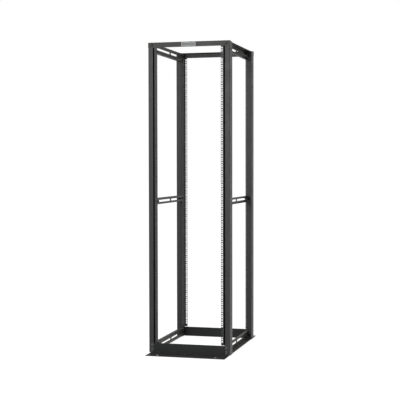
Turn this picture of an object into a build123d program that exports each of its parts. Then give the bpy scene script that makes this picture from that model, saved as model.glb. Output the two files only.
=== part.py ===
from build123d import *
import os

# A four post open frame rack for equipment on the 19 inch hole pattern, standing free on a floor.
# +X is to the right seen from the front, the front faces -Y, +Z is up and the floor is z = 0.
# The origin is on the floor, in the middle of the rack's plan. All sizes are in millimetres.

# Overall sizes
rack_height = 2133.6
depth_over_posts = 762.0
clear_opening = 450.0

# Equipment hole pattern
unit_count = 45
unit_height = 44.45
first_unit_height = 91.0
holes_apart_across = 465.1
outer_hole_pitch = 15.875
square_hole = 9.5

# Sheet thicknesses and bends
post_sheet = 2.0
rail_sheet = 2.0
side_sheet = 2.0
bar_sheet = 2.0
base_sheet = 2.5
inside_bend = 1.5

# Posts
post_width = 42.0
post_depth = 76.2
front_flange = 33.0
post_return = 42.0
web_hole = 10.0
lower_web_holes = (102.0, 314.0)
middle_web_hole = 1096.0
upper_web_drops = (455.6, 260.6)

# Mounting rails
rail_face = 20.0
rail_leg = 50.0
rail_end_gap = 3.0

# Top bars and the plate on the front one
bar_face = 34.9
bar_top = 35.0
plate_width = 98.0
plate_height = 26.0
plate_sheet = 1.5
plate_corner = 3.0

# Base angles
base_face = 69.85
base_foot = 127.0
base_end_gap = 9.0
post_lift_gap = 0.8
anchor_hole = 22.0
anchors_apart = 406.4
anchor_edge = 44.0

# Side members
narrow_flange = 22.0
side_rail_height = 62.0
slot_height = 14.0
brace_unit = 22
top_rail_drop = 6.6
base_rail_lift = 8.0
slot_divider = 28.0
slot_end = 8.0
tab_gap = 4.0
flange_gap = 0.5

# Places that follow from the sizes above
rail_inner = clear_opening / 2
post_inner = rail_inner + rail_face
post_outer = post_inner + post_width
front = -depth_over_posts / 2
flange_end = -front - post_depth
post_bottom = base_sheet + inside_bend + post_lift_gap
post_top = rack_height - bar_sheet - inside_bend
rail_bottom = base_face + rail_end_gap
rail_top = post_top - rail_end_gap
web_face = post_inner - side_sheet
deep_flange = post_outer - web_face
tab_end = flange_end + post_depth - rail_leg - tab_gap
brace_top = first_unit_height + brace_unit * unit_height


def folded_sheet(corners, thickness, plane, length):
    """Fold a sheet along the outside corners of its section and run it along the plane's normal.

    The corners turn to the left as they are walked, so the sheet lies on the left of them.
    """
    outside = FilletPolyline(*corners, radius=inside_bend + thickness)
    section = make_face(outside.offset_2d(thickness, kind=Kind.ARC, side=Side.LEFT, closed=True))
    return extrude(plane * section, amount=length)


def round_holes(plane, places, diameter, reach):
    """Round cutters of one diameter, each passing through the plane by the reach both ways."""
    circles = Sketch() + [Pos(x, y) * Circle(diameter / 2) for x, y in places]
    return extrude(plane * circles, amount=reach, both=True)


def post():
    """The front right post, a folded channel that is open toward the front in a narrow slot."""
    section = [
        (post_outer - front_flange, front),
        (post_outer, front),
        (post_outer, -flange_end),
        (post_inner, -flange_end),
        (post_inner, -flange_end - post_return),
    ]
    body = folded_sheet(section, post_sheet, Plane.XY.offset(post_bottom), post_top - post_bottom)
    middle = front + post_depth / 2
    upper_web_holes = tuple(rack_height - drop for drop in upper_web_drops)
    heights = lower_web_holes + (middle_web_hole,) + upper_web_holes
    web = Plane(origin=(post_outer, 0, 0), x_dir=(0, 1, 0), z_dir=(1, 0, 0))
    return body - round_holes(web, [(middle, z) for z in heights], web_hole, 2 * post_sheet)


def unit_hole_heights():
    """Heights of the three holes in each rack unit, up the whole rail."""
    outer_offset = unit_height / 2 - outer_hole_pitch
    offsets = (outer_offset, unit_height / 2, unit_height - outer_offset)
    return [first_unit_height + unit * unit_height + z for unit in range(unit_count) for z in offsets]


def mounting_rail():
    """The front right mounting rail, an angle with square holes up its face."""
    section = [
        (rail_inner, front),
        (post_inner, front),
        (post_inner, front + rail_leg),
    ]
    body = folded_sheet(section, rail_sheet, Plane.XY.offset(rail_bottom), rail_top - rail_bottom)
    face = Plane(origin=(0, front, 0), x_dir=(1, 0, 0), z_dir=(0, -1, 0))
    squares = Sketch() + [
        Pos(holes_apart_across / 2, z) * Rectangle(square_hole, square_hole) for z in unit_hole_heights()
    ]
    return body - extrude(face * squares, amount=2 * rail_sheet, both=True)


def top_bar():
    """The front top bar, an angle over the posts with one leg down their faces."""
    along = Plane(origin=(-post_outer, 0, 0), x_dir=(0, 1, 0), z_dir=(1, 0, 0))
    section = [
        (front - bar_sheet + bar_top, rack_height),
        (front - bar_sheet, rack_height),
        (front - bar_sheet, rack_height - bar_face),
    ]
    return folded_sheet(section, bar_sheet, along, 2 * post_outer)


def badge_plate():
    """A plain plate on the front top bar."""
    face = Plane(origin=(0, front - bar_sheet, rack_height - bar_face / 2), x_dir=(1, 0, 0), z_dir=(0, -1, 0))
    return extrude(face * RectangleRounded(plate_width, plate_height, plate_corner), amount=plate_sheet)


def base_angle():
    """The front base angle, with its leg behind the posts' faces and its foot out on the floor."""
    half = post_outer - base_end_gap
    leg = front + post_sheet
    along = Plane(origin=(-half, 0, 0), x_dir=(0, 1, 0), z_dir=(1, 0, 0))
    section = [
        (leg + base_sheet - base_foot, 0),
        (leg + base_sheet, 0),
        (leg + base_sheet, base_face),
    ]
    body = folded_sheet(section, base_sheet, along, 2 * half)
    anchor_row = leg + base_sheet - base_foot + anchor_edge
    anchors = [(side * anchors_apart / 2, anchor_row) for side in (-1, 1)]
    return body - round_holes(Plane.XY, anchors, anchor_hole, 2 * base_sheet)


def side_member(bottom, height, lower_flange, upper_flange):
    """A right side member, a channel with two long slots and a bolting tab past each post's flange."""
    half = flange_end - flange_gap
    along = Plane(origin=(0, half, 0), x_dir=(1, 0, 0), z_dir=(0, -1, 0))
    section = [
        (web_face + lower_flange, bottom),
        (web_face, bottom),
        (web_face, bottom + height),
        (web_face + upper_flange, bottom + height),
    ]
    body = folded_sheet(section[::-1], side_sheet, along, 2 * half)
    bend = side_sheet + inside_bend
    web = Plane(origin=(web_face, 0, bottom + height / 2), x_dir=(0, 1, 0), z_dir=(1, 0, 0))
    tabs = Rectangle(2 * tab_end, height - 2 * bend)
    body += extrude(web * tabs, amount=side_sheet)
    slot_length = tab_end - slot_end - slot_divider / 2
    slots = Sketch() + [
        Pos(side * (slot_divider + slot_length) / 2, 0) * SlotOverall(slot_length, slot_height) for side in (-1, 1)
    ]
    return body - extrude(web * slots, amount=2 * side_sheet, both=True)


def save(name, shape):
    """Write one named piece to its own file."""
    export_step(shape, f"parts/{name}.step")


def save_front_and_rear(name, front_piece):
    """Write a front piece and the same piece turned round for the rear."""
    save(name.format("front"), front_piece)
    save(name.format("rear"), Rot(0, 0, 180) * front_piece)


def save_four(name, front_right):
    """Write a front right piece, its mirror image on the left and both turned round for the rear."""
    front_left = mirror(front_right, about=Plane.YZ)
    save(name.format("front_right"), front_right)
    save(name.format("front_left"), front_left)
    save(name.format("rear_left"), Rot(0, 0, 180) * front_right)
    save(name.format("rear_right"), Rot(0, 0, 180) * front_left)


def save_both_sides(name, right):
    """Write a right side member and its mirror image on the left."""
    save(name.format("right"), right)
    save(name.format("left"), mirror(right, about=Plane.YZ))


os.makedirs("parts", exist_ok=True)
save_four("post_{}", post())
save_four("mounting_rail_{}", mounting_rail())
save_front_and_rear("top_bar_{}", top_bar())
save_front_and_rear("base_angle_{}", base_angle())
save("badge_plate", badge_plate())
top_rail_bottom = rack_height - top_rail_drop - side_rail_height
brace_bottom = brace_top - unit_height
save_both_sides("top_rail_{}", side_member(top_rail_bottom, side_rail_height, narrow_flange, deep_flange))
save_both_sides("middle_brace_{}", side_member(brace_bottom, unit_height, narrow_flange, narrow_flange))
save_both_sides("base_rail_{}", side_member(base_rail_lift, side_rail_height, deep_flange, narrow_flange))
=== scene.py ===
"""Looks of a four post open frame rack: its finishes, its bolts, the studio and the camera."""

import logging
import math
from dataclasses import dataclass, field
from enum import Enum
from typing import Callable

import bmesh
import bpy
from mathutils import Matrix, Vector


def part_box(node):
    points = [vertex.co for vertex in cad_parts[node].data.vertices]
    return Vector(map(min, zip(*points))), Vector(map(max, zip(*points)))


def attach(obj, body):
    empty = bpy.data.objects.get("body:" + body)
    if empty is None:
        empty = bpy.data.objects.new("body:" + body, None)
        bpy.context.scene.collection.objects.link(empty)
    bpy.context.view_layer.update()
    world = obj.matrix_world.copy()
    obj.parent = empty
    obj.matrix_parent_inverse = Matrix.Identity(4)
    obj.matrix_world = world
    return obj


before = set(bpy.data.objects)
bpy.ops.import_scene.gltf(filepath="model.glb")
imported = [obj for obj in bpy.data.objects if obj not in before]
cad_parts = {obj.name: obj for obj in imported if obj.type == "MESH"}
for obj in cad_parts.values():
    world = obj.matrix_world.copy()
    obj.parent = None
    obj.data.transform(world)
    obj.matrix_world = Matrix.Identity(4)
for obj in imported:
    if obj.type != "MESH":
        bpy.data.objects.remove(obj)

log = logging.getLogger("rack")

MM = 0.001
BODY = "root"
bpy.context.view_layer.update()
SIDE_MEMBERS = ("top_rail", "middle_brace", "base_rail")
SMOOTH_ANGLE = math.radians(35)

Colour = tuple[float, float, float]


class Corner(Enum):
    """The four posts, each with its side and its end of the rack as signs."""

    FRONT_LEFT = (-1, -1)
    FRONT_RIGHT = (1, -1)
    REAR_LEFT = (-1, 1)
    REAR_RIGHT = (1, 1)

    @property
    def title(self) -> str:
        """The corner's name as the nodes spell it."""
        return self.name.lower()

    @property
    def side(self) -> int:
        """-1 on the left and 1 on the right."""
        return self.value[0]

    @property
    def end(self) -> int:
        """-1 at the front and 1 at the rear."""
        return self.value[1]

    @property
    def side_name(self) -> str:
        """The side as the nodes spell it."""
        return "left" if self.side < 0 else "right"

    @property
    def end_name(self) -> str:
        """The end as the nodes spell it."""
        return "front" if self.end < 0 else "rear"

    @property
    def outward(self) -> "Facing":
        """The way out of the rack at this end."""
        return Facing.FRONT if self.end < 0 else Facing.REAR

    @property
    def inward(self) -> "Facing":
        """The way into the rack from this end."""
        return Facing.REAR if self.end < 0 else Facing.FRONT


class Facing(Enum):
    """The direction that a bolt's head looks in, as a turn of a head that is modelled looking up."""

    FRONT = (90.0, 0.0)
    REAR = (-90.0, 0.0)
    RIGHT = (0.0, 90.0)
    LEFT = (0.0, -90.0)

    def matrix(self) -> Matrix:
        """The turn as a matrix."""
        about_x, about_y = (math.radians(a) for a in self.value)
        return Matrix.Rotation(about_y, 4, "Y") @ Matrix.Rotation(about_x, 4, "X")


class Sockets:
    """Short ways to place and join shader nodes in one tree."""

    def __init__(self, tree: bpy.types.NodeTree) -> None:
        """Keep the tree that the nodes go into."""
        self.tree = tree

    def add(self, kind: str, **values: object) -> bpy.types.Node:
        """Place a node.

        Args:
            kind: The node's type, as Blender names it.
            values: Properties of the node, such as operation or data_type.

        Returns:
            The new node.
        """
        node = self.tree.nodes.new(kind)
        for name, value in values.items():
            setattr(node, name, value)
        return node

    def join(self, source: bpy.types.NodeSocket, target: bpy.types.NodeSocket) -> None:
        """Link one socket to another."""
        self.tree.links.new(source, target)

    def feed(self, target: bpy.types.NodeSocket, value: object) -> None:
        """Link a socket to the target, or write a plain value on it."""
        if isinstance(value, bpy.types.NodeSocket):
            self.join(value, target)
        else:
            target.default_value = value

    def maths(self, operation: str, *inputs: object) -> bpy.types.NodeSocket:
        """One Math node.

        Args:
            operation: The node's operation.
            inputs: Sockets or numbers, in order.

        Returns:
            The result's socket.
        """
        node = self.add("ShaderNodeMath", operation=operation)
        for socket, value in zip(node.inputs, inputs):
            self.feed(socket, value)
        return node.outputs[0]

    def blend(self, share: object, first: object, second: object) -> bpy.types.NodeSocket:
        """A colour between two, by a share.

        Args:
            share: 0 gives the first colour and 1 the second.
            first: A colour or a socket.
            second: A colour or a socket.

        Returns:
            The colour's socket.
        """
        node = self.add("ShaderNodeMix", data_type="RGBA")
        inputs = [s for s in node.inputs if s.enabled]
        self.feed(inputs[0], share)
        self.feed(inputs[1], (*first, 1.0) if isinstance(first, tuple) else first)
        self.feed(inputs[2], (*second, 1.0) if isinstance(second, tuple) else second)
        return next(s for s in node.outputs if s.enabled)

    def spread(
        self, value: object, low: float, high: float, to_low: float, to_high: float
    ) -> bpy.types.NodeSocket:
        """A value carried from one range to another, held at its ends.

        Args:
            value: The socket to carry over.
            low: The range's low end.
            high: The range's high end.
            to_low: What the low end becomes.
            to_high: What the high end becomes.

        Returns:
            The result's socket.
        """
        node = self.add("ShaderNodeMapRange", clamp=True)
        for socket, number in zip(node.inputs, (value, low, high, to_low, to_high)):
            self.feed(socket, number)
        return node.outputs[0]

    def noise(
        self, place: object, scale: object, detail: float, roughness: float = 0.5
    ) -> bpy.types.NodeSocket:
        """A noise value.

        Args:
            place: The coordinates' socket.
            scale: Features to the metre.
            detail: Octaves.
            roughness: Share of the finer octaves.

        Returns:
            The value's socket, about 0 to 1.
        """
        node = self.add("ShaderNodeTexNoise")
        self.feed(node.inputs["Vector"], place)
        self.feed(node.inputs["Scale"], scale)
        node.inputs["Detail"].default_value = detail
        node.inputs["Roughness"].default_value = roughness
        return node.outputs[0]


class SharedEffects:
    """Shader groups that several finishes use, each built once."""

    def __init__(self) -> None:
        """Build the groups."""
        self.grain = self._make("coat_grain", {"Scale": 700.0}, ("Height", "Mottle"), self._grain)
        self.dust = self._make("settled_dust", {"Scale": 9.0}, ("Mask",), self._dust)
        self.edge = self._make("rubbed_edge", {"Width": 0.0008}, ("Mask",), self._edge)

    @staticmethod
    def _make(
        name: str, inputs: dict[str, float], outputs: tuple[str, ...], fill: Callable[..., dict]
    ) -> bpy.types.NodeTree:
        """Build one group.

        Args:
            name: The group's name.
            inputs: Its number inputs and their usual values.
            outputs: Its number outputs.
            fill: A method that places the nodes and returns a socket for each output.

        Returns:
            The group.
        """
        group = bpy.data.node_groups.new(name, "ShaderNodeTree")
        for title, value in inputs.items():
            socket = group.interface.new_socket(title, in_out="INPUT", socket_type="NodeSocketFloat")
            socket.default_value = value
        for title in outputs:
            group.interface.new_socket(title, in_out="OUTPUT", socket_type="NodeSocketFloat")
        pen = Sockets(group)
        entry = pen.add("NodeGroupInput")
        exit_node = pen.add("NodeGroupOutput")
        for title, socket in fill(pen, entry.outputs).items():
            pen.join(socket, exit_node.inputs[title])
        return group

    @staticmethod
    def _grain(pen: Sockets, entry: bpy.types.NodeOutputs) -> dict[str, bpy.types.NodeSocket]:
        """The fine pebbling of a powder coat and the cloudiness of its colour.

        Args:
            pen: The group's nodes.
            entry: The group's inputs.

        Returns:
            Sockets for Height and Mottle.
        """
        pebble_share = 0.65
        drift_share = 0.35
        drift_scale = 0.28
        cloud_scale = 0.025
        place = pen.add("ShaderNodeTexCoord").outputs["Object"]
        pebbles = pen.maths("MULTIPLY", pen.noise(place, entry["Scale"], 2.0), pebble_share)
        coarse = pen.noise(place, pen.maths("MULTIPLY", entry["Scale"], drift_scale), 2.0)
        height = pen.maths("ADD", pebbles, pen.maths("MULTIPLY", coarse, drift_share))
        cloud = pen.noise(place, pen.maths("MULTIPLY", entry["Scale"], cloud_scale), 3.0)
        return {"Height": height, "Mottle": pen.spread(cloud, 0.3, 0.7, 0.0, 1.0)}

    @staticmethod
    def _dust(pen: Sockets, entry: bpy.types.NodeOutputs) -> dict[str, bpy.types.NodeSocket]:
        """Dust that lies on what faces up.

        Args:
            pen: The group's nodes.
            entry: The group's inputs.

        Returns:
            A socket for Mask.
        """
        slope_that_sheds = 0.55
        slope_that_holds = 0.98
        thinnest = 0.25
        place = pen.add("ShaderNodeTexCoord").outputs["Object"]
        normal = pen.add("ShaderNodeNewGeometry").outputs["True Normal"]
        split = pen.add("ShaderNodeSeparateXYZ")
        pen.join(normal, split.inputs[0])
        upward = pen.spread(split.outputs["Z"], slope_that_sheds, slope_that_holds, 0.0, 1.0)
        drifts = pen.spread(pen.noise(place, entry["Scale"], 5.0, 0.65), 0.35, 0.7, thinnest, 1.0)
        return {"Mask": pen.maths("MULTIPLY", upward, drifts)}

    @staticmethod
    def _edge(pen: Sockets, entry: bpy.types.NodeOutputs) -> dict[str, bpy.types.NodeSocket]:
        """Where hands and tools rub the coat thin along edges.

        Args:
            pen: The group's nodes.
            entry: The group's inputs.

        Returns:
            A socket for Mask.
        """
        turn_at_edge = 0.8
        turn_on_flat = 0.98
        patch_scale = 60.0
        place = pen.add("ShaderNodeTexCoord").outputs["Object"]
        rounded = pen.add("ShaderNodeBevel", samples=4)
        pen.feed(rounded.inputs["Radius"], entry["Width"])
        flat = pen.add("ShaderNodeNewGeometry").outputs["True Normal"]
        dot = pen.add("ShaderNodeVectorMath", operation="DOT_PRODUCT")
        pen.join(rounded.outputs[0], dot.inputs[0])
        pen.join(flat, dot.inputs[1])
        near = pen.spread(dot.outputs["Value"], turn_at_edge, turn_on_flat, 1.0, 0.0)
        broken = pen.spread(pen.noise(place, patch_scale, 4.0), 0.45, 0.62, 0.0, 1.0)
        return {"Mask": pen.maths("MULTIPLY", near, broken)}


def new_material(name: str) -> tuple[bpy.types.Material, Sockets, bpy.types.Node]:
    """Start a material with an empty Principled shader.

    Args:
        name: The material's name.

    Returns:
        The material, its nodes and its shader.
    """
    material = bpy.data.materials.new(name)
    material.use_nodes = True
    pen = Sockets(material.node_tree)
    return material, pen, material.node_tree.nodes["Principled BSDF"]


def use_group(pen: Sockets, group: bpy.types.NodeTree, **values: float) -> bpy.types.NodeOutputs:
    """Place a shared group in a material.

    Args:
        pen: The material's nodes.
        group: The group.
        values: Its inputs by name.

    Returns:
        The group node's outputs.
    """
    node = pen.add("ShaderNodeGroup")
    node.node_tree = group
    for title, value in values.items():
        node.inputs[title].default_value = value
    return node.outputs


@dataclass(frozen=True)
class PowderCoat:
    """A textured powder coat on sheet steel."""

    name: str
    colour: Colour = (0.030, 0.030, 0.0305)
    cloud_colour: Colour = (0.039, 0.039, 0.0385)
    rubbed_colour: Colour = (0.085, 0.085, 0.083)
    dust_colour: Colour = (0.24, 0.235, 0.22)
    grain_scale: float = 700.0
    grain_height: float = 0.00012
    roughness: tuple[float, float] = (0.42, 0.52)
    dust: float = 0.10
    dust_dulls: float = 0.6
    wear: float = 0.45
    wear_shines: float = 0.12
    specular: float = 0.22

    def build(self, effects: SharedEffects) -> bpy.types.Material:
        """Make the material.

        Args:
            effects: The shared shader groups.

        Returns:
            The finished material.
        """
        material, pen, shader = new_material(self.name)
        grain = use_group(pen, effects.grain, Scale=self.grain_scale)
        dust = pen.maths("MULTIPLY", use_group(pen, effects.dust)["Mask"], self.dust)
        wear = pen.maths("MULTIPLY", use_group(pen, effects.edge)["Mask"], self.wear)
        coat = pen.blend(grain["Mottle"], self.colour, self.cloud_colour)
        rubbed = pen.blend(wear, coat, self.rubbed_colour)
        pen.join(pen.blend(dust, rubbed, self.dust_colour), shader.inputs["Base Color"])
        gloss = pen.spread(grain["Mottle"], 0.0, 1.0, *self.roughness)
        duller = pen.maths("ADD", gloss, pen.maths("MULTIPLY", dust, self.dust_dulls))
        shine = pen.maths("MULTIPLY", wear, self.wear_shines)
        pen.join(pen.maths("SUBTRACT", duller, shine), shader.inputs["Roughness"])
        shader.inputs["Specular IOR Level"].default_value = self.specular
        bump = pen.add("ShaderNodeBump")
        bump.inputs["Distance"].default_value = self.grain_height
        pen.join(grain["Height"], bump.inputs["Height"])
        pen.join(bump.outputs[0], shader.inputs["Normal"])
        return material


@dataclass(frozen=True)
class PlatedSteel:
    """Dull zinc plate, as on bolts."""

    name: str
    colour: Colour = (0.20, 0.20, 0.195)
    stain_colour: Colour = (0.14, 0.14, 0.136)
    metallic: float = 0.75
    roughness: tuple[float, float] = (0.34, 0.52)
    grain_scale: float = 2600.0
    grain_height: float = 0.00003

    def build(self, effects: SharedEffects) -> bpy.types.Material:
        """Make the material.

        Args:
            effects: The shared shader groups.

        Returns:
            The finished material.
        """
        material, pen, shader = new_material(self.name)
        grain = use_group(pen, effects.grain, Scale=self.grain_scale)
        pen.join(pen.blend(grain["Mottle"], self.colour, self.stain_colour), shader.inputs["Base Color"])
        pen.join(pen.spread(grain["Mottle"], 0.0, 1.0, *self.roughness), shader.inputs["Roughness"])
        shader.inputs["Metallic"].default_value = self.metallic
        bump = pen.add("ShaderNodeBump")
        bump.inputs["Distance"].default_value = self.grain_height
        pen.join(grain["Height"], bump.inputs["Height"])
        pen.join(bump.outputs[0], shader.inputs["Normal"])
        return material


@dataclass(frozen=True)
class BrushedPlate:
    """A satin plate, brushed along X."""

    name: str
    colour: Colour = (0.062, 0.066, 0.066)
    streak_colour: Colour = (0.042, 0.044, 0.044)
    metallic: float = 0.35
    roughness: tuple[float, float] = (0.34, 0.48)
    streak_scale: tuple[float, float, float] = (20.0, 20.0, 2400.0)
    streak_depth: float = 0.00002
    edge_width: float = 0.0006

    def build(self, effects: SharedEffects) -> bpy.types.Material:
        """Make the material.

        Args:
            effects: The shared shader groups.

        Returns:
            The finished material.
        """
        material, pen, shader = new_material(self.name)
        place = pen.add("ShaderNodeTexCoord").outputs["Object"]
        stretch = pen.add("ShaderNodeMapping")
        stretch.inputs["Scale"].default_value = self.streak_scale
        pen.join(place, stretch.inputs["Vector"])
        streaks = pen.noise(stretch.outputs[0], 1.0, 3.0)
        edge = use_group(pen, effects.edge, Width=self.edge_width)["Mask"]
        brushed = pen.blend(streaks, self.colour, self.streak_colour)
        pen.join(pen.blend(edge, brushed, self.streak_colour), shader.inputs["Base Color"])
        pen.join(pen.spread(streaks, 0.2, 0.8, *self.roughness), shader.inputs["Roughness"])
        shader.inputs["Metallic"].default_value = self.metallic
        bump = pen.add("ShaderNodeBump")
        bump.inputs["Distance"].default_value = self.streak_depth
        pen.join(streaks, bump.inputs["Height"])
        pen.join(bump.outputs[0], shader.inputs["Normal"])
        return material


def clear_selection() -> None:
    """Leave edit mode and deselect everything."""
    if bpy.context.mode != "OBJECT":
        bpy.ops.object.mode_set(mode="OBJECT")
    bpy.ops.object.select_all(action="DESELECT")


def select_faces(piece: bpy.types.Object, wanted: Callable[[bmesh.types.BMFace], bool]) -> None:
    """Select faces of the piece that is in edit mode.

    Args:
        piece: The piece.
        wanted: Says whether a face is selected.
    """
    bpy.ops.mesh.select_mode(type="FACE")
    mesh = bmesh.from_edit_mesh(piece.data)
    for edge in mesh.edges:
        edge.select = False
    for face in mesh.faces:
        face.select_set(wanted(face))
    bmesh.update_edit_mesh(piece.data)


def select_edges(piece: bpy.types.Object, wanted: Callable[[bmesh.types.BMEdge], bool]) -> None:
    """Select edges of the piece that is in edit mode.

    Args:
        piece: The piece.
        wanted: Says whether an edge is selected.
    """
    bpy.ops.mesh.select_mode(type="EDGE")
    bpy.ops.mesh.select_all(action="DESELECT")
    mesh = bmesh.from_edit_mesh(piece.data)
    for edge in mesh.edges:
        edge.select_set(wanted(edge))
    bmesh.update_edit_mesh(piece.data)


@dataclass
class FlangeBolt:
    """A hex flange bolt's head, modelled looking up with its seat at z = 0."""

    across_flats: float = 13 * MM
    head_height: float = 7.5 * MM
    flange_diameter: float = 17 * MM
    flange_height: float = 2 * MM
    chamfer: float = 0.7 * MM
    dish: float = 1.2 * MM
    rim_sides: int = 32
    round_steps: int = 2

    def model(self, finish: bpy.types.Material, dish_finish: bpy.types.Material) -> bpy.types.Object:
        """Model the head and its flange.

        Args:
            finish: The material of the flange and the head.
            dish_finish: The material of the dish in the head's top.

        Returns:
            The head and its flange, as one mesh at the origin.
        """
        clear_selection()
        bpy.ops.mesh.primitive_cylinder_add(
            vertices=self.rim_sides, radius=self.flange_diameter / 2, depth=self.flange_height,
            location=(0, 0, self.flange_height / 2),
        )
        flange = bpy.context.object
        flange.data.materials.append(finish)
        bpy.ops.object.mode_set(mode="EDIT")
        select_faces(flange, lambda face: face.normal.z > 0.5)
        bpy.ops.mesh.inset(thickness=(self.flange_diameter - self.across_flats) / 3)
        bpy.ops.transform.translate(value=(0, 0, self.flange_height / 2))
        select_edges(flange, self._is_rim)
        bpy.ops.mesh.bevel(offset=self.flange_height / 4, segments=self.round_steps, affect="EDGES")
        clear_selection()
        bpy.ops.mesh.primitive_cylinder_add(
            vertices=6, radius=self.across_flats / math.sqrt(3), depth=self.head_height,
            location=(0, 0, self.head_height / 2 + self.flange_height),
        )
        head = bpy.context.object
        head.data.materials.append(finish)
        head.data.materials.append(dish_finish)
        bpy.ops.object.mode_set(mode="EDIT")
        select_edges(head, lambda edge: all(v.co.z > 0 for v in edge.verts))
        bpy.ops.mesh.bevel(offset=self.chamfer, segments=self.round_steps, affect="EDGES")
        select_faces(head, lambda face: face.normal.z > 0.99)
        bpy.ops.mesh.inset(thickness=self.dish)
        bpy.ops.transform.translate(value=(0, 0, -self.dish / 4))
        head.active_material_index = 1
        bpy.ops.object.material_slot_assign()
        bpy.ops.object.mode_set(mode="OBJECT")
        flange.select_set(True)
        head.select_set(True)
        bpy.context.view_layer.objects.active = flange
        bpy.ops.object.join()
        bpy.ops.object.transform_apply(location=True, rotation=True, scale=True)
        return flange

    def _is_rim(self, edge: bmesh.types.BMEdge) -> bool:
        """Whether an edge runs round the top of the flange's outer wall."""
        almost_out = self.flange_diameter / 2 * 0.98
        return all(v.co.xy.length > almost_out and v.co.z > 0 for v in edge.verts)


@dataclass
class BoltSet:
    """Like bolts in one joint, kept as one piece."""

    name: str
    facing: Facing
    seats: list[Vector]
    slot: str = "posts"

    def place(self, model: bpy.types.Object) -> bpy.types.Object:
        """Copy the modelled bolt to each seat and join the copies.

        Args:
            model: The modelled bolt, looking up at the origin.

        Returns:
            The joined piece.
        """
        clear_selection()
        copies = []
        for seat in self.seats:
            copy = bpy.data.objects.new(self.name, model.data.copy())
            bpy.context.scene.collection.objects.link(copy)
            copy.data.transform(Matrix.Translation(seat) @ self.facing.matrix())
            copy.select_set(True)
            copies.append(copy)
        bpy.context.view_layer.objects.active = copies[0]
        if len(copies) > 1:
            bpy.ops.object.join()
        piece = bpy.context.view_layer.objects.active
        piece.name = self.name
        bpy.ops.object.shade_smooth_by_angle(angle=SMOOTH_ANGLE)
        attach(piece, BODY)
        return piece


@dataclass
class Joints:
    """The bolts that hold the bars, the base angles and the side members on the posts, and very dark
    bolts in the closed flanges that paint the shade in the members' channel ends.
    """

    base_heights: tuple[float, float] = (25 * MM, 56.5 * MM)
    bolt_across: float = 262 * MM
    tab_inset: float = 12 * MM
    rail_bolt_rise: float = 20 * MM
    pieces: list[bpy.types.Object] = field(default_factory=list)

    def build(
        self, plated: bpy.types.Material, coated: bpy.types.Material, shade_black_coat: bpy.types.Material
    ) -> list[bpy.types.Object]:
        """Model one bolt in three finishes and place it at every joint.

        Args:
            plated: The finish of the bolts at the base, which show as dim rings.
            coated: The finish of most bolts.
            shade_black_coat: The near-black finish of the bolts in the posts' closed flanges, painted
                shade where each side member's channel ends, and of the dish in the base bolts' heads,
                painted shade in that hollow.

        Returns:
            The bolt pieces.
        """
        # The dish in each base bolt's head takes the near-black coat: painted shade in the hollow.
        ringed = FlangeBolt().model(plated, shade_black_coat)
        dark = FlangeBolt().model(coated, coated)
        # Near-black bolts for the closed flanges: painted shade where each side member's channel ends.
        shade_bolt_model = FlangeBolt().model(shade_black_coat, shade_black_coat)
        for corner in Corner:
            self.pieces.append(self._at_base(corner).place(ringed))
            self.pieces.append(self._at_top(corner).place(dark))
            self.pieces += [one.place(dark) for one in self._at_members(corner)]
            self.pieces.append(self._at_flanges(corner).place(shade_bolt_model))
        for model in (ringed, dark, shade_bolt_model):
            bpy.data.objects.remove(model)
        return self.pieces

    def _at_base(self, corner: Corner) -> BoltSet:
        """The two bolts through a post's face into the base angle."""
        low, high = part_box(f"post_{corner.title}")
        face = low.y if corner.end < 0 else high.y
        seats = [Vector((corner.side * self.bolt_across, face, z)) for z in self.base_heights]
        return BoltSet(f"base_bolts_{corner.title}", corner.outward, seats)

    def _at_top(self, corner: Corner) -> BoltSet:
        """The bolt through a top bar into a post's face."""
        low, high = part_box(f"top_bar_{corner.end_name}")
        face = low.y if corner.end < 0 else high.y
        seat = Vector((corner.side * self.bolt_across, face, (low.z + high.z) / 2))
        return BoltSet(f"top_bolt_{corner.title}", corner.outward, [seat])

    def _at_members(self, corner: Corner) -> list[BoltSet]:
        """The bolts through a side member's tabs, one set to each member."""
        facing = Facing.RIGHT if corner.side < 0 else Facing.LEFT
        sets = []
        for member in SIDE_MEMBERS:
            low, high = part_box(f"{member}_{corner.side_name}")
            inner = high.x if corner.side < 0 else low.x
            tab = (low.y if corner.end < 0 else high.y) - corner.end * self.tab_inset
            middle = (low.z + high.z) / 2
            rises = (0.0,) if member == "middle_brace" else (-self.rail_bolt_rise, self.rail_bolt_rise)
            seats = [Vector((inner, tab, middle + rise)) for rise in rises]
            sets.append(BoltSet(f"{member}_bolts_{corner.title}", facing, seats))
        return sets

    def _at_flanges(self, corner: Corner) -> BoltSet:
        """Very dark bolts in a post's closed flange, one inside the end of each side member's channel,
        painted shade in that hollow.
        """
        low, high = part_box(f"post_{corner.title}")
        face = high.y if corner.end < 0 else low.y
        boxes = [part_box(f"{member}_{corner.side_name}") for member in SIDE_MEMBERS]
        seats = [Vector(((low.x + high.x) / 2, face, (under.z + over.z) / 2)) for under, over in boxes]
        return BoltSet(f"flange_bolts_{corner.title}", corner.inward, seats)


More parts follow.
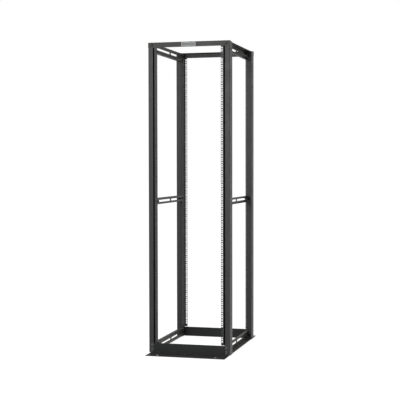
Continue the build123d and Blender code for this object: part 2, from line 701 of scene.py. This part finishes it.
@dataclass
class BadgeRim:
    """The thin raised rim round the plate on the front top bar."""

    width: float = 2 * MM
    height: float = 0.8 * MM
    corner: float = 3 * MM
    corner_steps: int = 5
    round_over: float = 0.25 * MM
    round_steps: int = 2

    def build(self, finish: bpy.types.Material) -> bpy.types.Object:
        """Model the rim flat, then stand it on the plate's face.

        Args:
            finish: Its material.

        Returns:
            The rim.
        """
        low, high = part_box("badge_plate")
        clear_selection()
        bpy.ops.mesh.primitive_plane_add(size=1)
        rim = bpy.context.object
        rim.name = "badge_rim"
        bpy.ops.object.mode_set(mode="EDIT")
        bpy.ops.transform.resize(value=(high.x - low.x, high.z - low.z, 1))
        bpy.ops.mesh.bevel(offset=self.corner, segments=self.corner_steps, affect="VERTICES")
        bpy.ops.mesh.inset(thickness=self.width)
        bpy.ops.mesh.delete(type="FACE")
        bpy.ops.mesh.select_all(action="SELECT")
        bpy.ops.mesh.extrude_region_move(TRANSFORM_OT_translate={"value": (0, 0, self.height)})
        bpy.ops.mesh.select_all(action="SELECT")
        bpy.ops.mesh.normals_make_consistent(inside=False)
        select_edges(rim, self._is_front_edge)
        bpy.ops.mesh.bevel(offset=self.round_over, segments=self.round_steps, affect="EDGES")
        bpy.ops.object.mode_set(mode="OBJECT")
        seat = Vector(((low.x + high.x) / 2, low.y, (low.z + high.z) / 2))
        rim.data.transform(Matrix.Translation(seat) @ Facing.FRONT.matrix())
        rim.data.materials.append(finish)
        bpy.ops.object.shade_smooth_by_angle(angle=SMOOTH_ANGLE)
        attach(rim, BODY)
        return rim

    def _is_front_edge(self, edge: bmesh.types.BMEdge) -> bool:
        """Whether an edge runs round the rim's raised face, inside or outside."""
        if any(vert.co.z < self.height / 2 for vert in edge.verts):
            return False
        return any(face.normal.z < 0.5 for face in edge.link_faces)


@dataclass
class Viewpoint:
    """Where the photograph was taken from, and its lens."""

    place: Vector = field(default_factory=lambda: Vector((1.93837, -7.31553, 1.31098)))
    turn: float = 15.0142
    down: float = 2.0063
    roll: float = -0.0898
    focal_pixels: float = 1058.05
    image_pixels: float = 400.0
    sensor: float = 36.0
    far: float = 200.0

    def build(self) -> bpy.types.Object:
        """Place the camera and make it the scene's own.

        Returns:
            The camera.
        """
        clear_selection()
        bpy.ops.object.camera_add()
        camera = bpy.context.object
        camera.name = "photo_camera"
        camera.matrix_world = (
            Matrix.Translation(self.place)
            @ Matrix.Rotation(math.radians(self.turn), 4, "Z")
            @ Matrix.Rotation(math.radians(90 - self.down), 4, "X")
            @ Matrix.Rotation(math.radians(self.roll), 4, "Z")
        )
        camera.data.sensor_fit = "HORIZONTAL"
        camera.data.sensor_width = self.sensor
        camera.data.lens = self.focal_pixels / self.image_pixels * self.sensor
        camera.data.clip_end = self.far
        bpy.context.scene.camera = camera
        return camera


@dataclass
class SoftLight:
    """One soft lamp."""

    name: str
    place: tuple[float, float, float]
    aim: tuple[float, float, float]
    size: tuple[float, float]
    watts: float

    def build(self) -> bpy.types.Object:
        """Hang the lamp and turn it to its aim.

        Returns:
            The lamp.
        """
        clear_selection()
        bpy.ops.object.light_add(type="AREA", location=self.place)
        lamp = bpy.context.object
        lamp.name = self.name
        lamp.data.shape = "RECTANGLE"
        lamp.data.size, lamp.data.size_y = self.size
        lamp.data.energy = self.watts
        lamp.rotation_euler = (Vector(self.aim) - Vector(self.place)).to_track_quat("-Z", "Y").to_euler()
        return lamp


@dataclass
class Studio:
    """A pale floor, a plain bright surround and soft lamps."""

    floor_size: float = 120.0
    floor_colour: Colour = (0.42, 0.42, 0.42)
    floor_roughness: float = 0.9
    floor_specular: float = 0.1
    floor_lift: float = 0.90
    surround: float = 0.25
    lamps: tuple[SoftLight, ...] = (
        SoftLight("front_softbox", (-0.6, -4.8, 2.4), (0.0, 0.0, 1.85), (2.2, 1.4), 142.0),
        SoftLight("side_lamp", (1.75, -2.41, 0.45), (0.28, -0.35, 0.7), (0.2, 0.2), 9.0),
    )

    def build(self) -> None:
        """Build the floor, the surround and the lamps."""
        self._floor()
        self._surround()
        for lamp in self.lamps:
            lamp.build()
        bpy.context.scene.view_settings.view_transform = "Standard"

    def _floor(self) -> None:
        """Lay a floor that shows as white paper and keeps the rack's shadow."""
        clear_selection()
        bpy.ops.mesh.primitive_plane_add(size=self.floor_size)
        floor = bpy.context.object
        floor.name = "studio_floor"
        material, pen, shader = new_material("studio_paper")
        shader.inputs["Base Color"].default_value = (*self.floor_colour, 1.0)
        shader.inputs["Roughness"].default_value = self.floor_roughness
        shader.inputs["Specular IOR Level"].default_value = self.floor_specular
        lift = pen.maths("MULTIPLY", self._seen(pen), self.floor_lift)
        shader.inputs["Emission Color"].default_value = (1.0, 1.0, 1.0, 1.0)
        pen.join(lift, shader.inputs["Emission Strength"])
        floor.data.materials.append(material)

    def _surround(self) -> None:
        """Light the scene evenly, and show white behind it."""
        world = bpy.data.worlds.new("studio_surround")
        world.use_nodes = True
        bpy.context.scene.world = world
        pen = Sockets(world.node_tree)
        strength = pen.spread(self._seen(pen), 0.0, 1.0, self.surround, 1.0)
        background = world.node_tree.nodes["Background"]
        background.inputs["Color"].default_value = (1.0, 1.0, 1.0, 1.0)
        pen.join(strength, background.inputs["Strength"])

    @staticmethod
    def _seen(pen: Sockets) -> bpy.types.NodeSocket:
        """1 for rays from the camera, and for those that metal and glass pass on."""
        rays = pen.add("ShaderNodeLightPath").outputs
        passed = pen.maths("ADD", rays["Is Glossy Ray"], rays["Is Transmission Ray"])
        return pen.maths("MINIMUM", pen.maths("ADD", rays["Is Camera Ray"], passed), 1.0)


@dataclass
class Rack:
    """The whole rack: its solids in their finishes, its bolts and the plate's rim."""

    coat: PowderCoat = PowderCoat("black_powder_coat")
    rail_coat: PowderCoat = PowderCoat("rail_powder_coat", dust=0.05)
    member_coat: PowderCoat = PowderCoat(
        "member_powder_coat",
        colour=(0.0305, 0.0305, 0.028),
        cloud_colour=(0.040, 0.040, 0.0365),
        dust=0.34,
        specular=0.18,
    )
    # The side top rails' coat is darker and duller than the posts': painted shade at the top.
    top_rail_coat: PowderCoat = PowderCoat(
        "top_rail_painted_shade_coat",
        colour=(0.0225, 0.0225, 0.0195),
        cloud_colour=(0.030, 0.030, 0.0262),
        dust=0.10,
        specular=0.13,
    )
    # The base angles' coat is darker and duller than the posts': painted shade near the floor.
    base_shade_coat: PowderCoat = PowderCoat(
        "base_painted_shade_coat",
        colour=(0.0185, 0.0198, 0.0192),
        cloud_colour=(0.0245, 0.0260, 0.0252),
        dust=0.05,
        specular=0.14,
    )
    # A near-black coat that paints shade: on the bolts in the closed flanges and in the dish of the base
    # bolts' heads.
    shade_black_coat: PowderCoat = PowderCoat(
        "painted_shade_black",
        colour=(0.006, 0.006, 0.006),
        cloud_colour=(0.009, 0.009, 0.009),
        dust=0.02,
        wear=0.15,
        specular=0.06,
    )
    plate: BrushedPlate = BrushedPlate("satin_plate")
    rim: BrushedPlate = BrushedPlate(
        "bright_rim", colour=(0.42, 0.43, 0.43), streak_colour=(0.33, 0.34, 0.34)
    )
    plated: PlatedSteel = PlatedSteel("zinc_plate")

    def build(self) -> None:
        """Dress every solid, and add the bolts and the plate's rim."""
        effects = SharedEffects()
        finishes = {
            "post": self.coat.build(effects),
            "mounting": self.rail_coat.build(effects),
            "top_rail": self.top_rail_coat.build(effects),
            "base_angle": self.base_shade_coat.build(effects),
            "badge": self.plate.build(effects),
        }
        members = self.member_coat.build(effects)
        for name, node in sorted(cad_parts.items()):
            finish = next((one for start, one in finishes.items() if name.startswith(start)), members)
            self._dress(node, finish)
            log.info("%s in %s", name, finish.name)
        bolts = Joints().build(self.plated.build(effects), members, self.shade_black_coat.build(effects))
        for piece in (*bolts, BadgeRim().build(self.rim.build(effects))):
            log.info("%s with %d faces", piece.name, len(piece.data.polygons))

    @staticmethod
    def _dress(node: bpy.types.Object, finish: bpy.types.Material) -> None:
        """Put one finish on all of a solid."""
        if not node.material_slots:
            node.data.materials.append(finish)
        for slot in node.material_slots:
            slot.material = finish


def main() -> None:
    """Build the camera, the studio and the rack."""
    logging.basicConfig(level=logging.INFO, format="%(message)s")
    Viewpoint().build()
    Studio().build()
    Rack().build()


if __name__ == "__main__":
    main()
